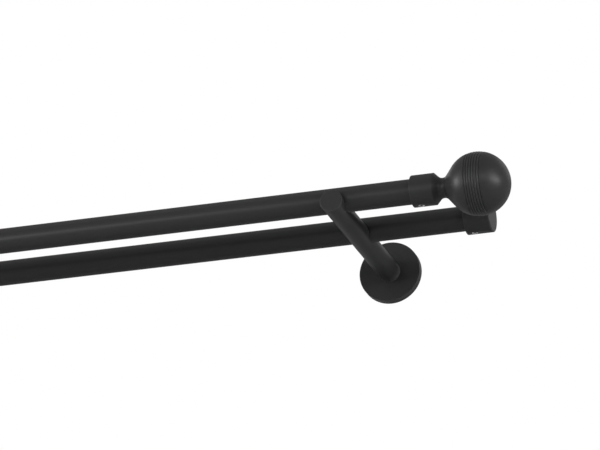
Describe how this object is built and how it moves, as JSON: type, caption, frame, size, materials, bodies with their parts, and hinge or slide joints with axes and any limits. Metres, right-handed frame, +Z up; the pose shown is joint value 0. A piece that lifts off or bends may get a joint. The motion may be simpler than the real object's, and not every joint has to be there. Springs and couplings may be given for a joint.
{
  "type": "double curtain pole",
  "caption": "Matt black double curtain pole: a front pole with grooved ball finials and a back pole with plain caps, both lying in open slots of round wall brackets.",
  "frame": {"origin": "middle of the rectangle of wall screw holes, on the wall's surface", "axes": "+X along the poles, to the right as seen from the room; +Y into the wall; +Z up"},
  "size_m": [1.3214, 0.175, 0.0559],
  "materials": {
    "black_coat": "matt black powder coat, finely textured",
    "black_screw": "black oxide steel",
    "zinc_plate": "zinc plated, bright"
  },
  "bodies": {
    "root": {"front_pole": "black_coat", "back_pole": "black_coat", "left_bracket_arm": "black_coat", "left_wall_rose": "black_coat", "left_mounting_disc": "zinc_plate", "left_rose_grub_screw": "black_screw", "left_arm_screw": "zinc_plate", "left_arm_washer": "zinc_plate", "left_ball_finial": "black_coat", "left_finial_grub_screw": "black_screw", "left_end_cap": "black_coat", "left_end_cap_grub_screw": "black_screw", "right_bracket_arm": "black_coat", "right_wall_rose": "black_coat", "right_mounting_disc": "zinc_plate", "right_rose_grub_screw": "black_screw", "right_arm_screw": "zinc_plate", "right_arm_washer": "zinc_plate", "right_ball_finial": "black_coat", "right_finial_grub_screw": "black_screw", "right_end_cap": "black_coat", "right_end_cap_grub_screw": "black_screw"}
  },
  "joints": []
}
